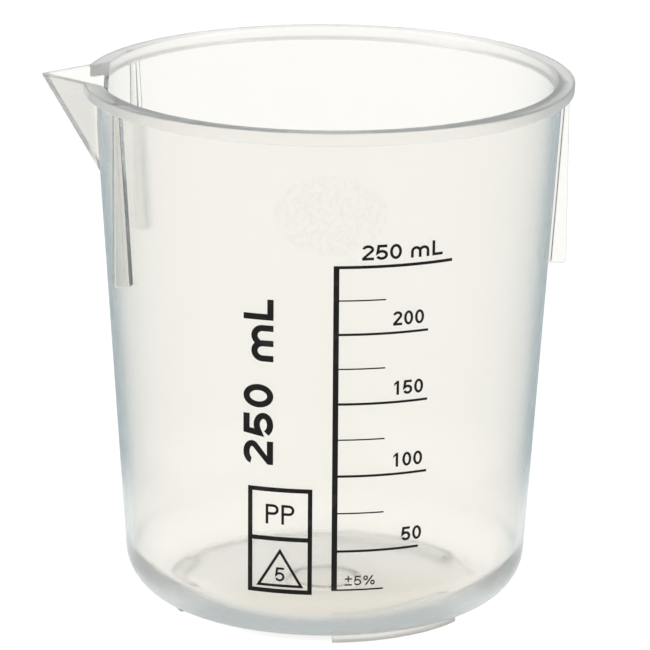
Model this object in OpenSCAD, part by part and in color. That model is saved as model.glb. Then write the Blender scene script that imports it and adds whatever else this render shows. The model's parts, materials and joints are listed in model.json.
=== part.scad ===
// Low-form 250 mL laboratory beaker in translucent polypropylene, with a printed scale.
// The feet stand on z = 0, the spout points along -X and the scale faces -Y. The origin is in the
// middle of the beaker's footprint, so the cup's upright axis stands a little to +X of it.

/* [Body] */
// Outer diameter of the rim
rim_d = 83.8; // [80:0.1:88]
// Height from the resting plane to the top of the rim
body_h = 92.3; // [88:0.1:98]
// Thickness of the wall and of the floor
wall_t = 1.2; // [1:0.05:1.6]
// Taper of the wall, in degrees from the axis
draft = 3.715; // [3:0.005:4.5]
// Outer radius of the corner between the wall and the floor
corner_r = 8.2; // [6:0.1:10]
// Inner radius of that corner, large enough to make the corner thicker than the wall
inner_corner_r = 9.4; // [7:0.1:10]
// Radius of the shallow recess under the floor
recess_r = 26.2; // [24:0.1:26.4]
// Depth of that recess
recess_d = 0.12; // [0.05:0.01:0.3]

/* [Rim] */
// Thickness of the rim's outward flange
rim_t = 2.2; // [1.8:0.1:3]
// How far the flange stands out from the wall
rim_overhang = 2.05; // [1.6:0.05:2.6]
// Radius of the rounded inner edge of the mouth
lip_r = 0.5; // [0.3:0.1:1]
// Radius of the flange's upper outer edge
rim_edge_r = 0.45; // [0.3:0.05:0.6]
// Radius of the flange's lower outer edge
rim_under_r = 0.55; // [0.4:0.05:0.7]
// Taper of the flange's outer face, in degrees from the axis
rim_taper = 4; // [2:1:8]

/* [Spout] */
// Distance from the axis to the tip of the spout
spout_reach = 48.9; // [46:0.1:52]
// Angle of each spout wall from the spout's direction, seen from above
spout_angle = 42.5; // [38:0.5:48]
// Lean of the spout's keel from the vertical
spout_lean = 30.2; // [26:0.1:34]
// Thickness of the spout's two walls
spout_t = 1.15; // [0.9:0.05:1.4]
// Radius of the outside of the keel
keel_r = 0.9; // [0.5:0.1:1.2]

/* [Stacking ribs] */
// Angle between the spout and the rib on each side of it
rib_angle = 30; // [25:1:40]
// Distance from the top of the rim down to the end of a rib
rib_drop = 32.2; // [26:0.1:38]
// Distance from the axis to a rib's straight outer edge
rib_r = 41; // [40.8:0.1:41.4]
// Thickness of a rib's fin
rib_t = 1; // [0.8:0.1:1.4]
// Width of the thickened root along a rib
root_w = 2.4; // [2:0.1:3]
// How far the root stands out from the wall
root_t = 0.55; // [0.4:0.05:0.8]
// Radius of a rib's lower outer corner
rib_corner_r = 0.8; // [0.4:0.1:1.2]

/* [Feet] */
// Height of the three feet under the floor
foot_h = 1.5; // [1.2:0.1:2]
// Outer radius of the ring that the feet lie on
foot_r = 27.5; // [27:0.1:28]
// Radial width of a foot
foot_w = 2.6; // [2:0.1:3.5]
// Length of a foot, in degrees round the axis
foot_arc = 52; // [40:1:60]

/* [Gate well] */
// Radius of the raised disc inside, over the moulding gate
gate_r = 6.4; // [5:0.1:8]
// Rise of the disc above the floor
gate_rise = 0.45; // [0.3:0.05:1.2]
// Width of the disc's sloping edge
gate_slope = 1.6; // [1:0.1:2.4]

/* [Scale print] */
// Thickness of the ink
ink_t = 0.1; // [0.08:0.01:0.15]
// Height of the 25 mL line above the resting plane
first_line_z = 12; // [11.5:0.1:13]
// Distance of the upright bar's left edge to the right of the front
bar_x = 1.75; // [1:0.05:3]
// Width of the upright bar
bar_w = 0.95; // [0.6:0.05:1.2]
// Right end of the 50 mL lines
major_end = 17.4; // [15:0.1:18]
// Right end of the 25 mL lines
minor_end = 10.4; // [9:0.1:12]
// Right end of the top line
top_end = 21.2; // [20:0.1:22]
// Height of the numerals
numeral_h = 2.45; // [2:0.05:3]

/* [Writing patch] */
// Width of the stippled oval for a pencil note
patch_w = 18.6; // [16:0.1:22]
// Height of the oval
patch_h = 13.7; // [12:0.1:16]
// Height of the oval's centre above the resting plane
patch_z = 77.9; // [76:0.1:79]

/* [Hidden] */
$fn = 360;

plastic = [0.93, 0.92, 0.88, 0.6];
ink = [0.06, 0.05, 0.05];

// The cup's axis is this far from the origin, because the spout reaches further than the rim.
rim_r = rim_d / 2;
axis_x = (spout_reach - rim_r) / 2;

module at_axis() {
    translate([axis_x, 0, 0]) children();
}

// Body: the wall is a cone and the corner is an arc that meets the cone and the floor smoothly.
flange_z = body_h - rim_t;
corner_z = foot_h + corner_r;
inner_corner_z = foot_h + wall_t + inner_corner_r;
join_z = inner_corner_z;
function wall_r(z) = rim_r - rim_overhang - (flange_z - z) * tan(draft);
function inner_r(z) = wall_r(z) - wall_t / cos(draft);
corner_x = wall_r(corner_z) - corner_r / cos(draft);
inner_corner_x = inner_r(inner_corner_z) - inner_corner_r / cos(draft);
arc_steps = 12;

// Points along an elliptical arc from angle a0 to a1.
function arc(c, rx, ry, a0, a1, n = arc_steps) =
    [for (i = [0 : n]) let (a = a0 + (a1 - a0) * i / n) [c[0] + rx * cos(a), c[1] + ry * sin(a)]];

// The section of the underside from the axis out to the wall: the recess, then the corner.
function underside() =
    concat(
        [[recess_r - recess_d, foot_h + recess_d], [recess_r, foot_h]],
        arc([corner_x, corner_z], corner_r, corner_r, -90, -draft)
    );

// The whole outside of the body as one solid, which the parts outside it are cut to fit. It goes on
// above the rim, so that it cuts clean through them.
module body_envelope() {
    above = 5;
    top = body_h + above;
    rotate_extrude()
        polygon(concat(
            [[0, foot_h + recess_d]],
            underside(),
            [[wall_r(top), top], [0, top]]
        ));
}

module side_wall() {
    lip_c = [inner_r(body_h - lip_r) + lip_r, body_h - lip_r];
    color(plastic)
        at_axis() difference() {
            rotate_extrude()
                polygon(concat(
                    [[inner_r(join_z), join_z], [wall_r(join_z), join_z], [wall_r(body_h), body_h]],
                    arc(lip_c, lip_r, lip_r, 90, 180)
                ));
            along_keel() wedge_outline(spout_t, trough_r);
        }
}

// One side of the gate disc's section, from its middle out to the level floor at height z, as half a
// wave.
function gate_edge(r, z) =
    [for (i = [0 : arc_steps / 2]) let (k = 2 * i / arc_steps)
        [r + gate_slope * (k - 0.5), z + gate_rise * (1 + cos(180 * k)) / 2]];

module base_floor() {
    inside_z = foot_h + wall_t;
    under_z = foot_h + recess_d;
    inner_corner = [inner_corner_x, inner_corner_z];
    over = gate_edge(gate_r, inside_z);
    under = gate_edge(gate_r - wall_t / 2, under_z);
    color(plastic)
        at_axis() rotate_extrude()
            polygon(concat(
                [[0, under_z + gate_rise]],
                under,
                underside(),
                [[wall_r(join_z), join_z], [inner_r(join_z), join_z]],
                arc(inner_corner, inner_corner_r, inner_corner_r, -draft, -90),
                [for (i = [len(over) - 1 : -1 : 0]) over[i]],
                [[0, inside_z + gate_rise]]
            ));
}

module rim_flange() {
    face_h = rim_t - rim_edge_r - rim_under_r;
    inset = (face_h * sin(rim_taper) + rim_under_r - rim_edge_r) / cos(rim_taper);
    top_c = [rim_r - rim_edge_r, body_h - rim_edge_r];
    under_c = [top_c[0] - inset, flange_z + rim_under_r];
    color(plastic)
        at_axis() difference() {
            rotate_extrude()
                polygon(concat(
                    [[wall_r(flange_z), flange_z]],
                    arc(under_c, rim_under_r, rim_under_r, -90, -rim_taper),
                    arc(top_c, rim_edge_r, rim_edge_r, -rim_taper, 90),
                    [[wall_r(body_h), body_h]]
                ));
            along_keel() wedge_outline(0, keel_r);
        }
}

// Spout: a V of two flat walls whose keel leans outwards. wedge_outline is the V filled in, across
// the keel, with its faces set in by inset and its keel rounded to radius r.
v_half = atan(tan(spout_angle) / cos(spout_lean));
wedge_depth = 20;
wedge_rise = 12;
wedge_drop = 45;
trough_r = 0.2;
v_apex = spout_reach + (keel_r / sin(v_half) - keel_r) / cos(spout_lean);

module wedge_outline(inset, r) {
    tip = -inset / sin(v_half);
    turn = 90 - v_half;
    polygon(concat(
        arc([tip - r / sin(v_half), 0], r, r, -turn, turn),
        [[tip - wedge_depth, wedge_depth * tan(v_half)]],
        [[tip - wedge_depth, -wedge_depth * tan(v_half)]]
    ));
}

// Runs an outline along the keel, from inside the wall to above the rim.
module along_keel() {
    rotate([0, 0, 180])
        translate([v_apex, 0, body_h])
            rotate([0, spout_lean, 0])
                translate([0, 0, -wedge_drop])
                    linear_extrude(wedge_drop + wedge_rise) children();
}

module pouring_spout() {
    above = 30;
    color(plastic)
        at_axis() difference() {
            along_keel()
                difference() {
                    wedge_outline(0, keel_r);
                    wedge_outline(spout_t, trough_r);
                }
            body_envelope();
            translate([-rim_r * 2, -rim_r, body_h]) cube([rim_r * 4, rim_r * 2, above]);
        }
}

// Stacking ribs: a thin fin with a straight outer edge, on a wider root that follows the wall.
module stack_rib(angle) {
    low = body_h - rib_drop;
    overlap = 1;
    back = wall_r(low) - overlap;
    corner = [rib_r - rib_corner_r, low + rib_corner_r];
    color(plastic)
        at_axis() rotate([0, 0, angle])
            difference() {
                union() {
                    rotate([90, 0, 0])
                        linear_extrude(rib_t, center = true)
                            polygon(concat(
                                [[back, low]],
                                arc(corner, rib_corner_r, rib_corner_r, -90, 0, 6),
                                [[rib_r, flange_z], [back, flange_z]]
                            ));
                    rotate([90, 0, 0])
                        linear_extrude(root_w, center = true)
                            polygon([
                                [back, low],
                                [wall_r(low) + root_t, low],
                                [wall_r(flange_z) + root_t, flange_z],
                                [back, flange_z]
                            ]);
                }
                body_envelope();
            }
}

module stack_rib_left() {
    stack_rib(180 + rib_angle);
}

module stack_rib_right() {
    stack_rib(180 - rib_angle);
}

module stack_rib_back() {
    stack_rib(0);
}

// Feet: three arcs of one ring, cut to the underside of the body.
module foot(angle) {
    color(plastic)
        at_axis() difference() {
            rotate([0, 0, angle - foot_arc / 2])
                rotate_extrude(angle = foot_arc)
                    translate([foot_r - foot_w, 0])
                        square([foot_w, 2 * foot_h]);
            body_envelope();
        }
}

module foot_spout() {
    foot(180);
}

module foot_front() {
    foot(300);
}

module foot_back() {
    foot(60);
}

// Print: flat artwork in the XZ plane is carried onto the front of the wall as a thin skin. Its x is
// measured from the cup's axis.
module on_wall(thickness) {
    skin = thickness / cos(draft);
    at_axis() intersection() {
        rotate_extrude()
            polygon([
                [wall_r(corner_z), corner_z],
                [wall_r(corner_z) + skin, corner_z],
                [wall_r(flange_z) + skin, flange_z],
                [wall_r(flange_z), flange_z]
            ]);
        rotate([90, 0, 0]) linear_extrude(rim_r) children();
    }
}

module writing_patch() {
    centre_x = 1.2;
    color(plastic)
        on_wall(ink_t / 2)
            polygon(arc([centre_x, patch_z], patch_w / 2, patch_h / 2, 0, 357, 119));
}

// Each 25 mL fills a slice of the tapered inside, so the lines draw closer together upwards.
step_volume = 25000;
function line_z(n) =
    let (r = inner_r(first_line_z))
    first_line_z + (pow(pow(r, 3) + (n - 1) * 3 * tan(draft) * step_volume / PI, 1 / 3) - r) / tan(draft);

top_line = 10;
major_t = 0.4;
minor_t = 0.22;
top_t = 0.5;
bottom_t = 0.26;
lines_x = bar_x + bar_w;

module scale_bar() {
    low = line_z(1) - bottom_t / 2;
    high = line_z(top_line) + top_t / 2;
    color(ink) on_wall(ink_t) translate([bar_x, low]) square([bar_w, high - low]);
}

module scale_line(n, end_x, t) {
    color(ink) on_wall(ink_t) translate([lines_x, line_z(n) - t / 2]) square([end_x - lines_x, t]);
}

module line_025() {
    scale_line(1, minor_end, bottom_t);
}

module line_050() {
    shorter = 1.2;
    scale_line(2, major_end - shorter, major_t);
}

module line_075() {
    scale_line(3, minor_end, minor_t);
}

module line_100() {
    scale_line(4, major_end, major_t);
}

module line_125() {
    scale_line(5, minor_end, minor_t);
}

module line_150() {
    scale_line(6, major_end, major_t);
}

module line_175() {
    scale_line(7, minor_end, minor_t);
}

module line_200() {
    scale_line(8, major_end, major_t);
}

module line_225() {
    scale_line(9, minor_end, minor_t);
}

module line_250() {
    scale_line(top_line, top_end, top_t);
}

// Characters: each is drawn in a box w wide and h high, in strokes of width t. A stroke follows its
// path with mitred corners.
function across(a, b) = [a[1] - b[1], b[0] - a[0]] / norm(b - a);
function mitre(path, i) =
    let (last = len(path) - 1)
    let (n1 = across(path[max(i - 1, 0)], path[max(i, 1)]))
    let (n2 = across(path[min(i, last - 1)], path[min(i + 1, last)]))
    (n1 + n2) / (1 + n1 * n2);

module stroke(path, t) {
    last = len(path) - 1;
    polygon(concat(
        [for (i = [0 : last]) path[i] + t / 2 * mitre(path, i)],
        [for (i = [last : -1 : 0]) path[i] - t / 2 * mitre(path, i)]
    ));
}

module ring(w, h, t) {
    c = [w / 2, h / 2];
    difference() {
        polygon(arc(c, w / 2, h / 2, 0, 350, 35));
        polygon(arc(c, w / 2 - t, h / 2 - t, 0, 350, 35));
    }
}

module bar(x, y, w, h) {
    translate([x, y]) square([w, h]);
}

module digit_1(w, h, t) {
    right = 0.6 * w + t / 2;
    flag = 0.8 * h;
    polygon([
        [right - t, 0], [right, 0], [right, h], [right - 0.8 * t, h],
        [0.2 * w, flag], [0.2 * w, flag - 0.9 * t], [right - t, flag]
    ]);
}

module digit_2(w, h, t) {
    bowl_h = 0.29 * h;
    c = [w / 2, h - bowl_h];
    polygon(concat(
        [[0, 0.9 * t], [0, 0], [w, 0], [w, t], [1.45 * t, t]],
        arc(c, w / 2, bowl_h, -30, 170),
        arc(c, w / 2 - t, bowl_h - t, 170, -30)
    ));
}

module digit_5(w, h, t) {
    m = t / 2;
    bowl_h = 0.33 * h - m;
    stroke(concat(
        [[0.94 * w, h - m], [0.22 * w, h - m], [0.13 * w, 0.47 * h]],
        arc([0.48 * w, 0.33 * h], 0.52 * w - m, bowl_h, 125, -155, 16)
    ), t);
}

module letter_m(w, h, t) {
    x_h = 0.74 * h;
    r = (w - t) / 4;
    c = x_h - t / 2 - r;
    stroke(concat([[t / 2, 0]], arc([t / 2 + r, c], r, r, 180, 0), [[t / 2 + 2 * r, 0]]), t);
    stroke(concat(arc([t / 2 + 3 * r, c], r, r, 150, 0), [[t / 2 + 4 * r, 0]]), t);
}

module letter_p(w, h, t) {
    r = 0.27 * h;
    c = [w - r, h - r];
    difference() {
        polygon(concat([[0, h], [0, 0], [t, 0], [t, c[1] - r]], arc(c, r, r, -90, 90)));
        polygon(concat([[t, h - t], [t, c[1] - r + t]], arc(c, r - t, r - t, -90, 90)));
    }
}

module glyph(ch, w, h, t) {
    if (ch == "0") ring(w, h, t);
    if (ch == "1") digit_1(w, h, t);
    if (ch == "2") digit_2(w, h, t);
    if (ch == "5") digit_5(w, h, t);
    if (ch == "m") letter_m(w, h, t);
    if (ch == "P") letter_p(w, h, t);
    if (ch == "L") stroke([[t / 2, h], [t / 2, t / 2], [w, t / 2]], t);
    if (ch == "+") {
        polygon(plus_outline(w, h, t));
        bar(0, 0, w, t);
    }
    if (ch == "%") {
        stroke([[0.2 * w, 0], [0.8 * w, h]], t);
        translate([0, 0.5 * h]) ring(0.4 * w, 0.5 * h, t);
        translate([0.6 * w, 0]) ring(0.4 * w, 0.5 * h, t);
    }
}

// The plus stands over the bar of the plus-or-minus sign.
function plus_outline(w, h, t) =
    let (x = [0, (w - t) / 2, (w + t) / 2, w])
    let (y = [0.38 * h, 0.69 * h - t / 2, 0.69 * h + t / 2, h])
    [[x[1], y[0]], [x[2], y[0]], [x[2], y[1]], [x[3], y[1]], [x[3], y[2]], [x[2], y[2]],
     [x[2], y[3]], [x[1], y[3]], [x[1], y[2]], [x[0], y[2]], [x[0], y[1]], [x[1], y[1]]];

// Widths of the characters against a digit's width. "+" is drawn as plus or minus.
function glyph_w(ch) = ch == "m" ? 1.55 : ch == "%" ? 1.6 : ch == " " ? 0.55 : ch == "L" ? 0.88 : 1;
function pen(word, i, gap) = i == 0 ? 0 : pen(word, i - 1, gap) + glyph_w(word[i - 1]) + gap;

usual_gap = 0.2;

module lettering(word, digit_w, h, t, gap = usual_gap) {
    for (i = [0 : len(word) - 1])
        translate([pen(word, i, gap) * digit_w, 0])
            glyph(word[i], glyph_w(word[i]) * digit_w, h, t);
}

numeral_w = 1.5;
numeral_t = 0.42;
numerals_end = 16.7;
numeral_lift = 1.25;

module numeral(word, n) {
    start = numerals_end - (pen(word, len(word), usual_gap) - usual_gap) * numeral_w;
    color(ink)
        on_wall(ink_t)
            translate([start, line_z(n) + numeral_lift])
                lettering(word, numeral_w, numeral_h, numeral_t);
}

module numeral_050() {
    numeral("50", 2);
}

module numeral_100() {
    numeral("100", 4);
}

module numeral_150() {
    numeral("150", 6);
}

module numeral_200() {
    numeral("200", 8);
}

top_numeral_w = 1.95;
top_numeral_h = 2.6;
top_numeral_t = 0.46;
top_numeral_gap = 0.17;
top_numeral_x = 6.4;
unit_x = 14.4;
unit_gap = 0.25;
top_numeral_z = line_z(top_line) + 1.15;

module numeral_250() {
    color(ink)
        on_wall(ink_t)
            translate([top_numeral_x, top_numeral_z])
                lettering("250", top_numeral_w, top_numeral_h, top_numeral_t, top_numeral_gap);
}

module unit_mark() {
    color(ink)
        on_wall(ink_t)
            translate([unit_x, top_numeral_z])
                lettering("mL", top_numeral_w, top_numeral_h, top_numeral_t, unit_gap);
}

module tolerance_mark() {
    start_x = 4;
    lift = 0.8;
    sign_w = 1.2;
    sign_h = 1.7;
    fine_t = 0.22;
    wide_gap = 0.3;
    color(ink)
        on_wall(ink_t)
            translate([start_x, line_z(1) + lift])
                lettering("+5%", sign_w, sign_h, fine_t, wide_gap);
}

// The nominal capacity in bold, reading upwards along the left of the scale.
module capacity_mark() {
    foot_line_x = -8.1;
    start_z = 34;
    digit_w = 4.1;
    digit_h = 5;
    bold_t = 1.05;
    gap = 0.22;
    color(ink)
        on_wall(ink_t)
            translate([foot_line_x, start_z])
                rotate([0, 0, 90])
                    lettering("250 mL", digit_w, digit_h, bold_t, gap);
}

// The plastic's code: its letters over its number in a triangle, in a frame of two cells.
frame_x = -12.3;
frame_z = 11.1;
frame_w = 10.8;
frame_h = 18.9;
frame_t = 0.75;
divider_z = 20.5;

module code_frame() {
    cell_w = frame_w - 2 * frame_t;
    color(ink)
        on_wall(ink_t)
            difference() {
                bar(frame_x, frame_z, frame_w, frame_h);
                bar(frame_x + frame_t, frame_z + frame_t, cell_w, divider_z - frame_z - frame_t);
                bar(frame_x + frame_t, divider_z + frame_t, cell_w,
                    frame_z + frame_h - divider_z - 2 * frame_t);
            }
}

code_w = 2.2;
code_x = frame_x + frame_w / 2;

module code_letters() {
    letter_h = 3.5;
    letter_t = 0.45;
    half_word = (1 + usual_gap / 2) * code_w;
    cell_top = frame_z + frame_h - frame_t;
    low = (divider_z + frame_t + cell_top - letter_h) / 2;
    color(ink)
        on_wall(ink_t)
            translate([code_x - half_word, low])
                lettering("PP", code_w, letter_h, letter_t);
}

module code_triangle() {
    side_r = 4.6;
    side_t = 0.45;
    number_w = 1.6;
    number_h = 2.5;
    number_t = 0.38;
    number_drop = 1.3;
    middle_z = frame_z + 3.45;
    color(ink)
        on_wall(ink_t) {
            translate([code_x, middle_z])
                difference() {
                    polygon(arc([0, 0], side_r, side_r, 90, 330, 2));
                    polygon(arc([0, 0], side_r - 2 * side_t, side_r - 2 * side_t, 90, 330, 2));
                }
            translate([code_x - number_w / 2, middle_z - number_drop])
                glyph("5", number_w, number_h, number_t);
        }
}

side_wall();
base_floor();
rim_flange();
pouring_spout();
stack_rib_left();
stack_rib_right();
stack_rib_back();
foot_spout();
foot_front();
foot_back();
writing_patch();
scale_bar();
line_025();
line_050();
line_075();
line_100();
line_125();
line_150();
line_175();
line_200();
line_225();
line_250();
numeral_050();
numeral_100();
numeral_150();
numeral_200();
numeral_250();
unit_mark();
tolerance_mark();
capacity_mark();
code_frame();
code_letters();
code_triangle();
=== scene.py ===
import json
import math

import bmesh
import bpy
import numpy as np
from mathutils import Matrix, Vector


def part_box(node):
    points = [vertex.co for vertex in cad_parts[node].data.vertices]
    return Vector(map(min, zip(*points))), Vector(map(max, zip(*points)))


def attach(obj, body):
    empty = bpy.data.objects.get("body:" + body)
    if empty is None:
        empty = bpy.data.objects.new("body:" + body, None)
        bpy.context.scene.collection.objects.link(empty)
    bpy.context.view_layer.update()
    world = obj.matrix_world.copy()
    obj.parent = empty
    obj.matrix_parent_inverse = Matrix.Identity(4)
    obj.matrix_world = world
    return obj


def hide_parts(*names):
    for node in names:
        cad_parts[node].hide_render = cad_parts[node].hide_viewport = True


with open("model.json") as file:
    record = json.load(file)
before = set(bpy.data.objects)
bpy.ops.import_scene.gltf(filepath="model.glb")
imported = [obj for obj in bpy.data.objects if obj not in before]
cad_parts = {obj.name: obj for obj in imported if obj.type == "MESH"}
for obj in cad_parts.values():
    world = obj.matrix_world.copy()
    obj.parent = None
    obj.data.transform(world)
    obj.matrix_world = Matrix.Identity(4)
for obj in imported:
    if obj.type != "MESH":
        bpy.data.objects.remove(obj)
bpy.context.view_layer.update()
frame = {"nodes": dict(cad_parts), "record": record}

# The beaker's own sizes are in millimetres, and MM turns them into metres. Those that a CAD node's
# box gives are read from it.
MM = 0.001


def box_mm(node):
    """The lowest and the highest corner of a CAD node, in millimetres."""
    lo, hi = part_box(node)
    return lo / MM, hi / MM


rim_lo, rim_hi = box_mm("rim_flange")
rib_lo, rib_hi = box_mm("stack_rib_back")

# Rim, wall and floor. The cup's upright axis stands at AXIS_X, and every radius starts from it.
RIM_R = rim_hi.y
AXIS_X = rim_hi.x - RIM_R
TOP_Z = rim_hi.z
FLANGE_Z = rim_lo.z
RIM_OVERHANG = 2.05
RIM_EDGE_R = 0.45
RIM_UNDER_R = 0.55
RIM_FILLET_R = 0.3
RIM_TAPER = math.radians(4)
WALL_T = 1.2
DRAFT = math.radians(3.715)
LIP_R = 0.5
FLOOR_Z = 1.5
CORNER_R = 8.2
INNER_CORNER_R = 9.4

# The recess under the floor, and the raised disc over the moulding gate.
RECESS_R = 26.2
RECESS_D = 0.12
GATE_R = 6.4
GATE_RISE = 0.45
GATE_SLOPE = 1.6

# Spout. SPOUT_ANGLE is half the angle between its two faces, seen from above.
SPOUT_REACH = AXIS_X - box_mm("pouring_spout")[0].x
SPOUT_ANGLE = math.radians(42.5)
SPOUT_LEAN = math.radians(30.2)
SPOUT_T = 1.15
SPOUT_EDGE_R = 0.38
KEEL_R = 0.9
TROUGH_R = 0.2

# Ribs: a thin fin each, on a wider root. RIB_R is how far out the fin reaches, and RIB_ROOT_RISE
# keeps the root's lower face off the fin's, because faces in one plane don't join cleanly.
RIB_R = rib_hi.x - AXIS_X
RIB_LOW = rib_lo.z
RIB_T = 1.0
RIB_CORNER_R = 0.8
RIB_EDGE_R = 0.2
RIB_ROOT_W = 2.4
RIB_ROOT_T = 0.55
RIB_ROOT_RISE = 0.35
RIB_ROOT_EDGE_R = 0.36
RIB_ANGLES = (210, 150, 0)

# Feet: arcs of one ring.
FOOT_R = AXIS_X - box_mm("foot_spout")[0].x
FOOT_W = 2.6
FOOT_EDGE_R = 0.35
FOOT_ARC = math.radians(52)
FOOT_ANGLES = (180, 300, 60)

# The oval patch for a pencil note, on the front of the wall.
PATCH_X = 1.2
PATCH_Z = 77.9
PATCH_W = 18.6
PATCH_H = 13.7

# The mesh: segments round the cup, steps in the section's corners and edges, how far ribs and feet
# go into the cup before they are joined on, and the angle above which an edge is shaded as sharp.
SEGMENTS = 288
CORNER_STEPS = 24
EDGE_STEPS = 8
EMBED = 0.3
SHARP_ANGLE = math.radians(32)


def wall_r(z):
    """Radius of the wall's outer face."""
    return RIM_R - RIM_OVERHANG - (FLANGE_Z - z) * math.tan(DRAFT)


def inner_r(z):
    """Radius of the wall's inner face."""
    return wall_r(z) - WALL_T / math.cos(DRAFT)


def arc(cx, cy, r, start, end, steps):
    """Points along an arc, with its angles in degrees."""
    angles = [math.radians(start + (end - start) * i / steps) for i in range(steps + 1)]
    return [(cx + r * math.cos(a), cy + r * math.sin(a)) for a in angles]


# Meshes are made in millimetres round the cup's axis. finish_mesh moves them to where the axis
# stands and scales them to metres.
def new_object(name, verts, faces):
    mesh = bpy.data.meshes.new(name)
    mesh.from_pydata([tuple(v) for v in verts], [], faces)
    bm = bmesh.new()
    bm.from_mesh(mesh)
    bmesh.ops.recalc_face_normals(bm, faces=bm.faces)
    bm.to_mesh(mesh)
    bm.free()
    obj = bpy.data.objects.new(name, mesh)
    bpy.context.scene.collection.objects.link(obj)
    return obj


def revolve(name, profile):
    """A closed solid from an open profile that starts and ends on the axis."""
    angles = [2 * math.pi * k / SEGMENTS for k in range(SEGMENTS)]
    ring = [(math.cos(a), math.sin(a)) for a in angles]
    inner = profile[1:-1]
    verts = [(0, 0, profile[0][1])]
    for r, z in inner:
        verts += [(r * c, r * s, z) for c, s in ring]
    verts.append((0, 0, profile[-1][1]))
    last = len(verts) - 1
    top = 1 + (len(inner) - 1) * SEGMENTS
    faces = []
    for k in range(SEGMENTS):
        n = (k + 1) % SEGMENTS
        faces.append((0, 1 + n, 1 + k))
        for j in range(len(inner) - 1):
            a = 1 + j * SEGMENTS
            b = a + SEGMENTS
            faces.append((a + k, a + n, b + n, b + k))
        faces.append((top + k, top + n, last))
    return new_object(name, verts, faces)


def prism(name, outline, length, matrix):
    """A closed outline in the XY plane, extruded along Z and then placed by matrix."""
    n = len(outline)
    verts = [matrix @ Vector((x, y, z)) for z in (0, length) for x, y in outline]
    faces = [tuple(range(n - 1, -1, -1)), tuple(range(n, 2 * n))]
    faces += [(i, (i + 1) % n, n + (i + 1) % n, n + i) for i in range(n)]
    return new_object(name, verts, faces)


def combine(target, tool, operation):
    """Cuts tool out of target, or joins it on, and removes the tool."""
    mod = target.modifiers.new("combine", "BOOLEAN")
    mod.operation = operation
    mod.object = tool
    mod.solver = "EXACT"
    graph = bpy.context.evaluated_depsgraph_get()
    mesh = bpy.data.meshes.new_from_object(target.evaluated_get(graph))
    target.modifiers.clear()
    old = target.data
    target.data = mesh
    bpy.data.meshes.remove(old)
    bpy.data.objects.remove(tool)


def round_corners(obj, radius, segments):
    """Rounds every edge that turns by more than 25 degrees."""
    corner = math.radians(25)
    bm = bmesh.new()
    bm.from_mesh(obj.data)
    edges = [e for e in bm.edges if e.is_manifold and e.calc_face_angle(0) > corner]
    bmesh.ops.bevel(
        bm, geom=edges, offset=radius, offset_type="OFFSET", segments=segments, profile=0.5, affect="EDGES",
        clamp_overlap=True,
    )
    bm.to_mesh(obj.data)
    bm.free()


def clean_mesh(obj):
    """Joins points that the cuts left on top of each other, and drops faces with no area."""
    same_point = 0.002
    no_length = 0.001
    bm = bmesh.new()
    bm.from_mesh(obj.data)
    bmesh.ops.remove_doubles(bm, verts=bm.verts, dist=same_point)
    bmesh.ops.dissolve_degenerate(bm, dist=no_length, edges=bm.edges)
    bm.to_mesh(obj.data)
    bm.free()


def finish_mesh(obj):
    clean_mesh(obj)
    obj.data.transform(Matrix.Scale(MM, 4) @ Matrix.Translation((AXIS_X, 0, 0)))
    obj.data.shade_smooth()
    obj.data.set_sharp_from_angle(angle=SHARP_ANGLE)
    weighted = obj.modifiers.new("weighted_normals", "WEIGHTED_NORMAL")
    weighted.keep_sharp = True


# Cup: the wall, floor and rim are one revolved section, and the spout is a leaning V built out from
# it and then hollowed through it.
def gate_edge(r, z):
    """Half a wave down from the gate disc to the floor at height z."""
    steps = 10
    return [
        (r + GATE_SLOPE * (k / steps - 0.5), z + GATE_RISE * (1 + math.cos(math.pi * k / steps)) / 2)
        for k in range(steps + 1)
    ]


def rim_section():
    """From the fillet under the flange, round its tapered edge, to the top of the rim."""
    face = TOP_Z - FLANGE_Z - RIM_EDGE_R - RIM_UNDER_R
    inset = (face * math.sin(RIM_TAPER) + RIM_UNDER_R - RIM_EDGE_R) / math.cos(RIM_TAPER)
    top_x = RIM_R - RIM_EDGE_R
    taper = math.degrees(RIM_TAPER)
    fillet_z = FLANGE_Z - RIM_FILLET_R
    fillet_x = wall_r(fillet_z) + RIM_FILLET_R
    points = arc(fillet_x, fillet_z, RIM_FILLET_R, 180 - math.degrees(DRAFT), 90, steps=5)
    points += arc(top_x - inset, FLANGE_Z + RIM_UNDER_R, RIM_UNDER_R, -90, -taper, EDGE_STEPS)
    points += arc(top_x, TOP_Z - RIM_EDGE_R, RIM_EDGE_R, -taper, 90, EDGE_STEPS)
    return points


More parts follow.
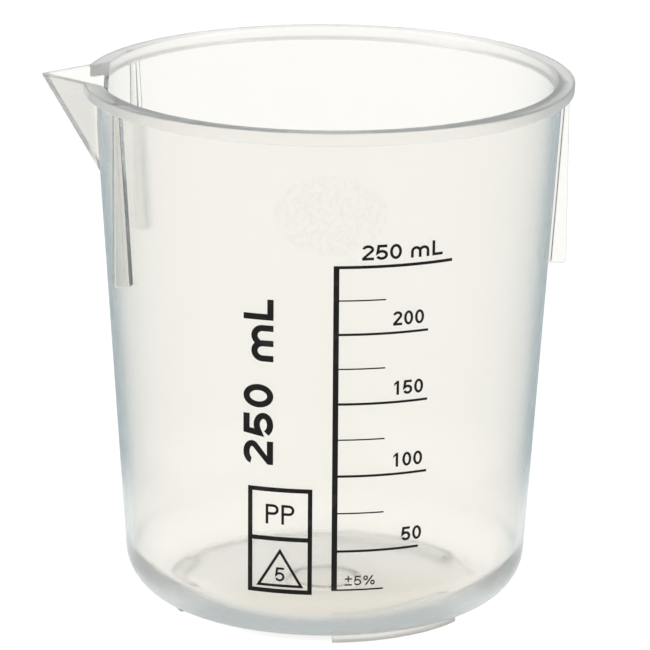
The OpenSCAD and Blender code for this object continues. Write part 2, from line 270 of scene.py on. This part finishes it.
def cup_profile():
    """The cup's section, from the middle of its underside round to the middle of its floor."""
    draft = math.degrees(DRAFT)
    corner_z = FLOOR_Z + CORNER_R
    corner_x = wall_r(corner_z) - CORNER_R / math.cos(DRAFT)
    inside_z = FLOOR_Z + WALL_T
    inner_z = inside_z + INNER_CORNER_R
    inner_x = inner_r(inner_z) - INNER_CORNER_R / math.cos(DRAFT)
    under_z = FLOOR_Z + RECESS_D
    rim = rim_section()
    lip_z = TOP_Z - LIP_R
    floor_rings = (10, 15, 20)
    wall_rows = 24
    outside = [(0, under_z + GATE_RISE)] + gate_edge(GATE_R - WALL_T / 2, under_z)
    outside += [(r, under_z) for r in floor_rings]
    outside += [(RECESS_R - RECESS_D, under_z), (RECESS_R, FLOOR_Z)]
    outside += arc(corner_x, corner_z, CORNER_R, -90, -draft, CORNER_STEPS)
    outside += [(wall_r(z), z) for z in np.linspace(corner_z, rim[0][1], wall_rows)[1:-1]]
    outside += rim
    inside = arc(inner_r(lip_z) + LIP_R, lip_z, LIP_R, 90, 180, EDGE_STEPS)
    inside += [(inner_r(z), z) for z in np.linspace(lip_z, inner_z, wall_rows)[1:-1]]
    inside += arc(inner_x, inner_z, INNER_CORNER_R, -draft, -90, CORNER_STEPS)
    inside += [(r, inside_z) for r in floor_rings[::-1]]
    inside += gate_edge(GATE_R, inside_z)[::-1] + [(0, inside_z + GATE_RISE)]
    return outside + inside


# V_HALF is half the angle between the spout's faces, across the keel. The rest is seen from above:
# where the faces would meet at the rim, the keel's radius, and how far a face moves when it moves
# by SPOUT_T at right angles to itself.
V_HALF = math.atan(math.tan(SPOUT_ANGLE) / math.cos(SPOUT_LEAN))
V_APEX = SPOUT_REACH + (KEEL_R / math.sin(V_HALF) - KEEL_R) / math.cos(SPOUT_LEAN)
PLAN_KEEL_R = (V_APEX - SPOUT_REACH) / (1 / math.sin(SPOUT_ANGLE) - 1)
PLAN_T = SPOUT_T * math.sin(SPOUT_ANGLE) / (math.sin(V_HALF) * math.cos(SPOUT_LEAN))


def wedge(name, rows):
    """A leaning V, filled in as far as depth behind its tip. Each row is (height, inset, keel radius)."""
    depth = 20.0
    half_width = depth * math.tan(SPOUT_ANGLE)
    turn = 90 - math.degrees(SPOUT_ANGLE)
    verts = []
    for z, inset, radius in rows:
        tip = V_APEX - (TOP_Z - z) * math.tan(SPOUT_LEAN) - inset / math.sin(SPOUT_ANGLE)
        points = arc(tip - radius / math.sin(SPOUT_ANGLE), 0, radius, -turn, turn, steps=12)
        points += [(tip - depth, half_width), (tip - depth, -half_width)]
        verts += [(-x, -y, z) for x, y in points]
    n = len(points)
    last = (len(rows) - 1) * n
    faces = [tuple(range(n - 1, -1, -1)), tuple(range(last, last + n))]
    for k in range(0, last, n):
        faces += [(k + i, k + (i + 1) % n, k + n + (i + 1) % n, k + n + i) for i in range(n)]
    return new_object(name, verts, faces)


def spout_rows(inset, radius, side):
    """Rows that round the upper edges: side is 1 for an outer edge and -1 for an inner one."""
    drop = 45.0
    least_r = 0.05
    steps = 6
    rows = [(TOP_Z - drop, inset, radius)]
    for k in range(steps + 1):
        a = math.pi / 2 * k / steps
        in_by = side * SPOUT_EDGE_R * (1 - math.cos(a))
        rows.append((TOP_Z - SPOUT_EDGE_R * (1 - math.sin(a)), inset + in_by, max(radius - in_by, least_r)))
    return rows


def cone(name, inset):
    """The space inside the wall's outer face, moved in by inset and carried on above the rim."""
    low, high = 5.0, TOP_Z + 20
    return revolve(name, [(0, low), (wall_r(low) - inset, low), (wall_r(high) - inset, high), (0, high)])


def make_cup():
    cup = revolve("beaker_moulding", cup_profile())
    spout = wedge("spout", spout_rows(0, PLAN_KEEL_R, 1))
    combine(spout, cone("inside", WALL_T / 2), "DIFFERENCE")
    combine(cup, spout, "UNION")
    # Above the rim the trough goes straight up, so its faces are inset by as much as they would lean.
    rows = spout_rows(PLAN_T, TROUGH_R, -1)
    clear = 4.0
    top_inset, top_radius = rows[-1][1:]
    rows.append((TOP_Z + clear, top_inset + clear * math.tan(SPOUT_LEAN) * math.sin(SPOUT_ANGLE), top_radius))
    combine(cup, wedge("trough", rows), "DIFFERENCE")
    return cup


# Ribs: a thin fin with a straight outer edge, on a wider root that follows the wall. Each goes a
# little way into the cup's wall and rim before it is joined on.
def add_rib(cup, angle):
    turn = Matrix.Rotation(math.radians(angle), 4, "Z")
    upright = Matrix.Rotation(math.pi / 2, 4, "X")

    def add_plate(outline, width, edge_r, segments):
        place = turn @ Matrix.Translation((0, width / 2, 0)) @ upright
        part = prism("rib", outline, width, place)
        round_corners(part, edge_r, segments)
        combine(cup, part, "UNION")

    top = FLANGE_Z + EMBED
    root_low = RIB_LOW + RIB_ROOT_RISE
    root = [(wall_r(root_low) - EMBED, root_low), (wall_r(root_low) + RIB_ROOT_T, root_low)]
    root += [(wall_r(top) + RIB_ROOT_T, top), (wall_r(top) - EMBED, top)]
    fin = [(wall_r(RIB_LOW) - EMBED, RIB_LOW)]
    fin += arc(RIB_R - RIB_CORNER_R, RIB_LOW + RIB_CORNER_R, RIB_CORNER_R, -90, 0, EDGE_STEPS)
    fin += [(RIB_R, top), (wall_r(top) - EMBED, top)]
    add_plate(root, RIB_ROOT_W, RIB_ROOT_EDGE_R, segments=4)
    add_plate(fin, RIB_T, RIB_EDGE_R, segments=3)


def add_foot(cup, angle):
    """An arc of a ring whose lower edges are rounded."""
    r_in = FOOT_R - FOOT_W
    top = FLOOR_Z + EMBED
    edge = FOOT_EDGE_R
    section = [(r_in, top)] + arc(r_in + edge, edge, edge, 180, 270, steps=4)
    section += arc(FOOT_R - edge, edge, edge, -90, 0, steps=4) + [(FOOT_R, top)]
    steps = 26
    start = math.radians(angle) - FOOT_ARC / 2
    verts = []
    for k in range(steps + 1):
        a = start + FOOT_ARC * k / steps
        verts += [(r * math.cos(a), r * math.sin(a), z) for r, z in section]
    n = len(section)
    faces = [tuple(range(n)), tuple(range(steps * n, (steps + 1) * n))]
    for k in range(steps):
        for i in range(n):
            j = (i + 1) % n
            faces.append((k * n + i, k * n + j, (k + 1) * n + j, (k + 1) * n + i))
    combine(cup, new_object("foot", verts, faces), "UNION")


def make_moulding():
    cup = make_cup()
    for angle in RIB_ANGLES:
        add_rib(cup, angle)
    for angle in FOOT_ANGLES:
        add_foot(cup, angle)
    finish_mesh(cup)
    return cup


# Nodes shared by the materials, the floor and the world.
def math_node(tree, operation, first, second=None, third=None):
    """A Math node; each value is a number or another node's output."""
    node = tree.nodes.new("ShaderNodeMath")
    node.operation = operation
    for socket, value in zip(node.inputs, (first, second, third)):
        if value is None:
            continue
        if isinstance(value, (int, float)):
            socket.default_value = value
        else:
            tree.links.new(value, socket)
    return node.outputs[0]


def sum_of_squares(tree, first, second):
    first_2 = math_node(tree, "MULTIPLY", first, first)
    second_2 = math_node(tree, "MULTIPLY", second, second)
    return math_node(tree, "ADD", first_2, second_2)


def ramp(tree, value, start, end):
    """0 up to start and 1 from end on, eased between them."""
    node = tree.nodes.new("ShaderNodeMapRange")
    node.interpolation_type = "SMOOTHSTEP"
    node.inputs["From Min"].default_value = start
    node.inputs["From Max"].default_value = end
    tree.links.new(value, node.inputs["Value"])
    return node.outputs["Result"]


def ramp_mm(tree, value, limits):
    """The same for a value in metres, between two limits in millimetres."""
    return ramp(tree, value, limits[0] * MM, limits[1] * MM)


def noise(tree, vector, scale, detail, rough=0.5):
    node = tree.nodes.new("ShaderNodeTexNoise")
    node.inputs["Scale"].default_value = scale
    node.inputs["Detail"].default_value = detail
    node.inputs["Roughness"].default_value = rough
    tree.links.new(vector, node.inputs["Vector"])
    return node.outputs["Fac"]


def tone_mix(tree, factor, first, second):
    """Blends from one tone to another; each is a colour or another node's output."""
    mix = tree.nodes.new("ShaderNodeMix")
    mix.data_type = "RGBA"
    for socket, tone in (("A", first), ("B", second)):
        if isinstance(tone, tuple):
            mix.inputs[socket].default_value = (*tone, 1)
        else:
            tree.links.new(tone, mix.inputs[socket])
    tree.links.new(factor, mix.inputs["Factor"])
    return mix.outputs["Result"]


def bump(tree, height, depth, under=None):
    """A relief as deep as depth, in millimetres, on top of the one in under."""
    node = tree.nodes.new("ShaderNodeBump")
    node.inputs["Distance"].default_value = depth * MM
    tree.links.new(height, node.inputs["Height"])
    if under is not None:
        tree.links.new(under, node.inputs["Normal"])
    return node.outputs["Normal"]


def object_place(tree):
    """Where a point is, in metres, in the frame that the CAD and the floor share."""
    return tree.nodes.new("ShaderNodeTexCoord").outputs["Object"]


def split(tree, vector):
    """The outputs X, Y and Z of a vector."""
    node = tree.nodes.new("ShaderNodeSeparateXYZ")
    tree.links.new(vector, node.inputs[0])
    return node.outputs


def new_material(name):
    """A material, its node tree and the Principled shader in it."""
    mat = bpy.data.materials.new(name)
    mat.use_nodes = True
    return mat, mat.node_tree, mat.node_tree.nodes["Principled BSDF"]


# The plastic: its tones, its refractive index, the share of light it lets through, and how much
# roughness each part of its surface adds to the polished wall's.
CLEAR_TONE = (0.986, 0.968, 0.932)
WARM_TONE = (0.98, 0.96, 0.918)
STIPPLE_TONE = (0.915, 0.895, 0.86)
PLASTIC_IOR = 1.49
PLASTIC_CLEARNESS = 0.97
POLISHED_ROUGH = 0.06
CLOUD_ROUGH = 0.05
SATIN_ROUGH = 0.09
RIM_ROUGH = 0.14
FOOT_ROUGH = 0.2
CORNER_ROUGH = 0.06
PATCH_ROUGH = 0.12

# Where each part of the surface starts and where it is fully there, in millimetres: three heights,
# a place along x and one along y, and two distances out from the wall's outer face.
RIM_FROM = (FLANGE_Z - 0.4, FLANGE_Z + 0.1)
FOOT_FROM = (FLOOR_Z - 0.05, FLOOR_Z - 0.4)
CORNER_FROM = (12.5, 6.0)
SPOUT_FROM = (-37.0, -38.5)
PATCH_FRONT = (-30.0, -34.0)
PROUD_FROM = (0.1, 0.3)
OUTER_FACE_FROM = (-0.7, -0.4)

# The patch's edge, on a scale that is 0 in its middle and 1 all along its outline.
PATCH_EDGE = (1.06, 0.94)

# Noise: its sizes, in cells a metre, and the values between which a speck of the stipple fades in.
CLOUD_SCALE = 60
TINT_SCALE = 25
WAVE_SCALE = 45
STIPPLE_SCALE = 1500
SPECK_FROM = (0.46, 0.58)

# Depth of the relief, in millimetres.
WAVE_DEPTH = 0.03
STIPPLE_DEPTH = 0.2


def plastic_material():
    """Clear, faintly warm plastic: polished walls, and a satin rim, spout, ribs and feet."""
    mat, tree, shader = new_material("translucent_polypropylene")
    shader.inputs["IOR"].default_value = PLASTIC_IOR
    shader.inputs["Transmission Weight"].default_value = PLASTIC_CLEARNESS
    place = object_place(tree)
    parts = split(tree, place)
    x = math_node(tree, "SUBTRACT", parts["X"], AXIS_X * MM)
    y, z = parts["Y"], parts["Z"]
    r = math_node(tree, "SQRT", sum_of_squares(tree, x, y))
    wall = math_node(tree, "MULTIPLY_ADD", z, math.tan(DRAFT), wall_r(0) * MM)
    from_wall = math_node(tree, "SUBTRACT", r, wall)
    proud = ramp_mm(tree, from_wall, PROUD_FROM)
    high = ramp_mm(tree, z, RIM_FROM)
    low = ramp_mm(tree, z, FOOT_FROM)
    satin = math_node(tree, "MAXIMUM", math_node(tree, "MAXIMUM", proud, high), low)
    corner = ramp_mm(tree, z, CORNER_FROM)
    spout = math_node(tree, "MULTIPLY", proud, ramp_mm(tree, x, SPOUT_FROM))
    rim = math_node(tree, "MAXIMUM", high, spout)

    # The patch for a pencil note is an oval on the wall's outer face, in front only.
    across = math_node(tree, "DIVIDE", math_node(tree, "SUBTRACT", x, PATCH_X * MM), PATCH_W / 2 * MM)
    up = math_node(tree, "DIVIDE", math_node(tree, "SUBTRACT", z, PATCH_Z * MM), PATCH_H / 2 * MM)
    oval = ramp(tree, sum_of_squares(tree, across, up), *PATCH_EDGE)
    in_front = math_node(tree, "MULTIPLY", oval, ramp_mm(tree, y, PATCH_FRONT))
    patch = math_node(tree, "MULTIPLY", in_front, ramp_mm(tree, from_wall, OUTER_FACE_FROM))

    # The gloss: soft clouds all over, and rougher parts on top.
    clouds = noise(tree, place, CLOUD_SCALE, detail=4, rough=0.6)
    rough = math_node(tree, "MULTIPLY_ADD", clouds, CLOUD_ROUGH, POLISHED_ROUGH)
    rougher_parts = (
        (satin, SATIN_ROUGH),
        (rim, RIM_ROUGH),
        (low, FOOT_ROUGH),
        (corner, CORNER_ROUGH),
        (patch, PATCH_ROUGH),
    )
    for part, more in rougher_parts:
        rough = math_node(tree, "MULTIPLY_ADD", part, more, rough)
    tree.links.new(rough, shader.inputs["Roughness"])

    # The colour: a faint, uneven warmth, with greyer specks in the patch.
    tint = tone_mix(tree, noise(tree, place, TINT_SCALE, detail=3), CLEAR_TONE, WARM_TONE)
    grains = noise(tree, place, STIPPLE_SCALE, detail=3, rough=0.7)
    specks = math_node(tree, "MULTIPLY", ramp(tree, grains, *SPECK_FROM), patch)
    tree.links.new(tone_mix(tree, specks, tint, STIPPLE_TONE), shader.inputs["Base Color"])

    # The relief: the patch's stipple, and the wall's slight waviness.
    waves = noise(tree, place, WAVE_SCALE, detail=2)
    on_wall = math_node(tree, "SUBTRACT", 1.0, math_node(tree, "MAXIMUM", high, corner))
    stipple = bump(tree, math_node(tree, "MULTIPLY", grains, patch), STIPPLE_DEPTH)
    relief = bump(tree, math_node(tree, "MULTIPLY", waves, on_wall), WAVE_DEPTH, stipple)
    tree.links.new(relief, shader.inputs["Normal"])
    return mat


# The ink's tones and finish, in the same units.
INK_TONE = (0.007, 0.0055, 0.004)
THIN_INK_TONE = (0.028, 0.024, 0.02)
INK_SPECULAR = 0.25
INK_ROUGH = 0.35
INK_UNEVEN_ROUGH = 0.3
INK_COVER_SCALE = 420
INK_THIN_FROM = (0.5, 0.75)
INK_GLOSS_SCALE = 160
INK_GRAIN_SCALE = 3500
INK_GRAIN_DEPTH = 0.01


def ink_material():
    """Screen-print ink: near black, a little uneven in colour and gloss, with the mesh's fine grain."""
    mat, tree, shader = new_material("screen_print_ink")
    shader.inputs["Specular IOR Level"].default_value = INK_SPECULAR
    place = object_place(tree)
    cover = noise(tree, place, INK_COVER_SCALE, detail=4, rough=0.65)
    thin = ramp(tree, cover, *INK_THIN_FROM)
    tree.links.new(tone_mix(tree, thin, INK_TONE, THIN_INK_TONE), shader.inputs["Base Color"])
    uneven = noise(tree, place, INK_GLOSS_SCALE, detail=3)
    rough = math_node(tree, "MULTIPLY_ADD", uneven, INK_UNEVEN_ROUGH, INK_ROUGH)
    tree.links.new(rough, shader.inputs["Roughness"])
    grain = bump(tree, noise(tree, place, INK_GRAIN_SCALE, detail=2), INK_GRAIN_DEPTH)
    tree.links.new(grain, shader.inputs["Normal"])
    return mat


plastic = plastic_material()
ink = ink_material()

moulding = make_moulding()
moulding.data.materials.append(plastic)
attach(moulding, "root")
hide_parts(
    "side_wall", "base_floor", "rim_flange", "pouring_spout", "stack_rib_left", "stack_rib_right",
    "stack_rib_back", "foot_spout", "foot_front", "foot_back", "writing_patch",
)

for sub in frame["record"]["subparts"]:
    if sub["material_slot"] == "ink":
        mark = frame["nodes"][sub["node"]]
        mark.data.materials.clear()
        mark.data.materials.append(ink)

# The set is lit as clear ware is. Light that comes straight through the beaker is white, and what its
# surfaces mirror of the floor and the room is dimmer and bluer, so its edges are darker.
# On the floor those dimmer tones are a painted reflection, with painted shade near the beaker, that only
# mirrored light sees.
STRAIGHT_FLOOR = (1.075, 1.075, 1.075)
# Painted shadow: the floor's tone beneath the front of the beaker.
PAINTED_SHADOW_TONE = (0.89, 0.875, 0.845)
# Painted reflection: the floor's tones that only mirrored light sees, darker near the beaker's front-to-back
# line and far off, lighter close by on either side.
PAINTED_REFLECTION_FRONT = (0.50, 0.555, 0.575)
PAINTED_REFLECTION_SIDE = (0.92, 0.97, 0.98)
PAINTED_REFLECTION_FAR = (0.48, 0.56, 0.60)
STRAIGHT_LOW = (0.97, 0.97, 0.97)
STRAIGHT_HIGH = (0.7, 0.71, 0.72)
MIRRORED_LOW = (0.60, 0.65, 0.67)
MIRRORED_HIGH = (1, 1, 1)

# Where those tones change: on the floor in millimetres from the cup's axis, and in the room by the
# sine of the height above the horizon.
# SHADE_BASE and SHADE_FRONT place the painted shadow under the beaker. SHADE_FRONT_X and SHADE_FRONT_Y move
# its middle towards the front.
SHADE_BASE = (23.5, 28.5)
SHADE_FRONT = (14.0, 34.0)
SHADE_FRONT_X = 4.0
SHADE_FRONT_Y = -10.0
# SIDES_FROM and CLOSE_BY: where the painted reflection's tones change.
SIDES_FROM = (18.0, 36.0)
CLOSE_BY = (60.0, 100.0)
STRAIGHT_RISE = (0.12, 0.6)
MIRRORED_RISE = (0.1, 0.5)


def mirrored_light(tree):
    """A value of 1 for light that a surface has mirrored on its way, and 0 for the rest."""
    path = tree.nodes.new("ShaderNodeLightPath")
    return math_node(tree, "GREATER_THAN", path.outputs["Glossy Depth"], 0.5)


def near_point(tree, x, y, limits):
    """1 on the floor within the first limit of a point, fading to 0 at the second."""
    away = tree.nodes.new("ShaderNodeVectorMath")
    away.operation = "DISTANCE"
    away.inputs[1].default_value = ((AXIS_X + x) * MM, y * MM, 0)
    tree.links.new(object_place(tree), away.inputs[0])
    return ramp_mm(tree, away.outputs["Value"], limits[::-1])


def painted_contact_shadow(tree):
    """1 where a painted shadow lies on the floor beneath the front of the beaker, and 0 elsewhere."""
    base = near_point(tree, 0, 0, SHADE_BASE)
    front = near_point(tree, SHADE_FRONT_X, SHADE_FRONT_Y, SHADE_FRONT)
    return math_node(tree, "MULTIPLY", base, front)


def painted_floor_reflection(tree):
    """A painted reflection of the floor, seen only in mirrored light: painted shade close to the beaker's
    front-to-back line, lighter close by on either side, and dimmer further off.
    """
    x = math_node(tree, "SUBTRACT", split(tree, object_place(tree))["X"], AXIS_X * MM)
    sides = ramp_mm(tree, math_node(tree, "ABSOLUTE", x), SIDES_FROM)
    near = tone_mix(tree, sides, PAINTED_REFLECTION_FRONT, PAINTED_REFLECTION_SIDE)
    return tone_mix(tree, near_point(tree, 0, 0, CLOSE_BY), PAINTED_REFLECTION_FAR, near)


def make_floor():
    """A floor that gives off its own light, a hair below the feet, with a painted shadow beneath the beaker
    and a painted reflection that only mirrored light sees. Its sizes are in metres.
    """
    size = 6.0
    gap = 0.00005
    mesh = bpy.data.meshes.new("floor")
    corners = [(-size, -size, -gap), (size, -size, -gap), (size, size, -gap), (-size, size, -gap)]
    mesh.from_pydata(corners, [], [(0, 1, 2, 3)])
    floor = bpy.data.objects.new("floor", mesh)
    bpy.context.scene.collection.objects.link(floor)
    mat, tree, shader = new_material("floor_glow_with_painted_shade")
    tree.nodes.remove(shader)
    # The floor's glow, darkened by a painted shadow beneath the front of the beaker.
    white = tone_mix(tree, painted_contact_shadow(tree), STRAIGHT_FLOOR, PAINTED_SHADOW_TONE)
    glow = tree.nodes.new("ShaderNodeEmission")
    # Mirrored light sees the painted reflection instead of the floor's glow.
    tree.links.new(tone_mix(tree, mirrored_light(tree), white, painted_floor_reflection(tree)), glow.inputs["Color"])
    tree.links.new(glow.outputs[0], tree.nodes["Material Output"].inputs["Surface"])
    mesh.materials.append(mat)


def soft_box(name, place, size, power):
    """A lamp that shows only where it is mirrored, aimed at the beaker. Lengths are in metres."""
    data = bpy.data.lights.new(name, "AREA")
    data.shape = "RECTANGLE"
    data.size, data.size_y = size
    data.energy = power
    light = bpy.data.objects.new(name, data)
    light.location = place
    beaker_middle = Vector((0, 0, 0.05))
    aim = beaker_middle - Vector(place)
    light.rotation_euler = aim.to_track_quat("-Z", "Y").to_euler()
    light.visible_diffuse = False
    light.visible_transmission = False
    bpy.context.scene.collection.objects.link(light)


def make_world():
    world = bpy.data.worlds.new("studio")
    bpy.context.scene.world = world
    world.use_nodes = True
    tree = world.node_tree
    height = split(tree, tree.nodes.new("ShaderNodeTexCoord").outputs["Generated"])["Z"]
    straight = tone_mix(tree, ramp(tree, height, *STRAIGHT_RISE), STRAIGHT_LOW, STRAIGHT_HIGH)
    mirrored = tone_mix(tree, ramp(tree, height, *MIRRORED_RISE), MIRRORED_LOW, MIRRORED_HIGH)
    tone = tone_mix(tree, mirrored_light(tree), straight, mirrored)
    tree.links.new(tone, tree.nodes["Background"].inputs["Color"])


# Camera: a long lens a little above the rim, at the photograph's angle. The beaker stands a little
# off the middle of the frame, so the camera looks past its target by the last two angles. Lengths
# are in metres, and the lens and the sensor in millimetres.
CAMERA_TARGET = Vector((AXIS_X * MM, 0, 0.05073))
CAMERA_DISTANCE = 0.8837
CAMERA_AZIMUTH = math.radians(-89)
CAMERA_ELEVATION = math.radians(15.56)
CAMERA_ROLL = math.radians(0.49)
LENS = 284.232
SENSOR_W = 36
LOOK_LEFT = math.radians(0.01958)
LOOK_DOWN = math.radians(0.14489)


def make_camera():
    data = bpy.data.cameras.new("camera")
    data.sensor_width = SENSOR_W
    data.lens = LENS
    data.clip_start = 0.05
    data.clip_end = 20
    camera = bpy.data.objects.new("camera", data)
    bpy.context.scene.collection.objects.link(camera)
    back = Vector((
        math.cos(CAMERA_ELEVATION) * math.cos(CAMERA_AZIMUTH),
        math.cos(CAMERA_ELEVATION) * math.sin(CAMERA_AZIMUTH),
        math.sin(CAMERA_ELEVATION),
    ))
    turn = (-back).to_track_quat("-Z", "Y").to_matrix() @ Matrix.Rotation(CAMERA_ROLL, 3, "Z")
    aside = Vector((-math.tan(LOOK_LEFT), -math.tan(LOOK_DOWN), -1))
    turn = turn @ Vector((0, 0, -1)).rotation_difference(aside.normalized()).to_matrix()
    place = CAMERA_TARGET + back * CAMERA_DISTANCE
    camera.matrix_world = Matrix.Translation(place) @ turn.to_4x4()
    bpy.context.scene.camera = camera


make_floor()
soft_box("soft_box_left", place=(-0.9, -0.2, 1.0), size=(0.16, 0.5), power=4)
soft_box("soft_box_right", place=(0.95, -0.45, 0.8), size=(0.2, 0.2), power=3)
make_world()
make_camera()
bpy.context.scene.view_settings.view_transform = "Standard"

# Light goes back and forth many times inside clear plastic before it comes out.
cycles = bpy.context.scene.cycles
cycles.max_bounces = 24
cycles.glossy_bounces = 16
cycles.transmission_bounces = 24
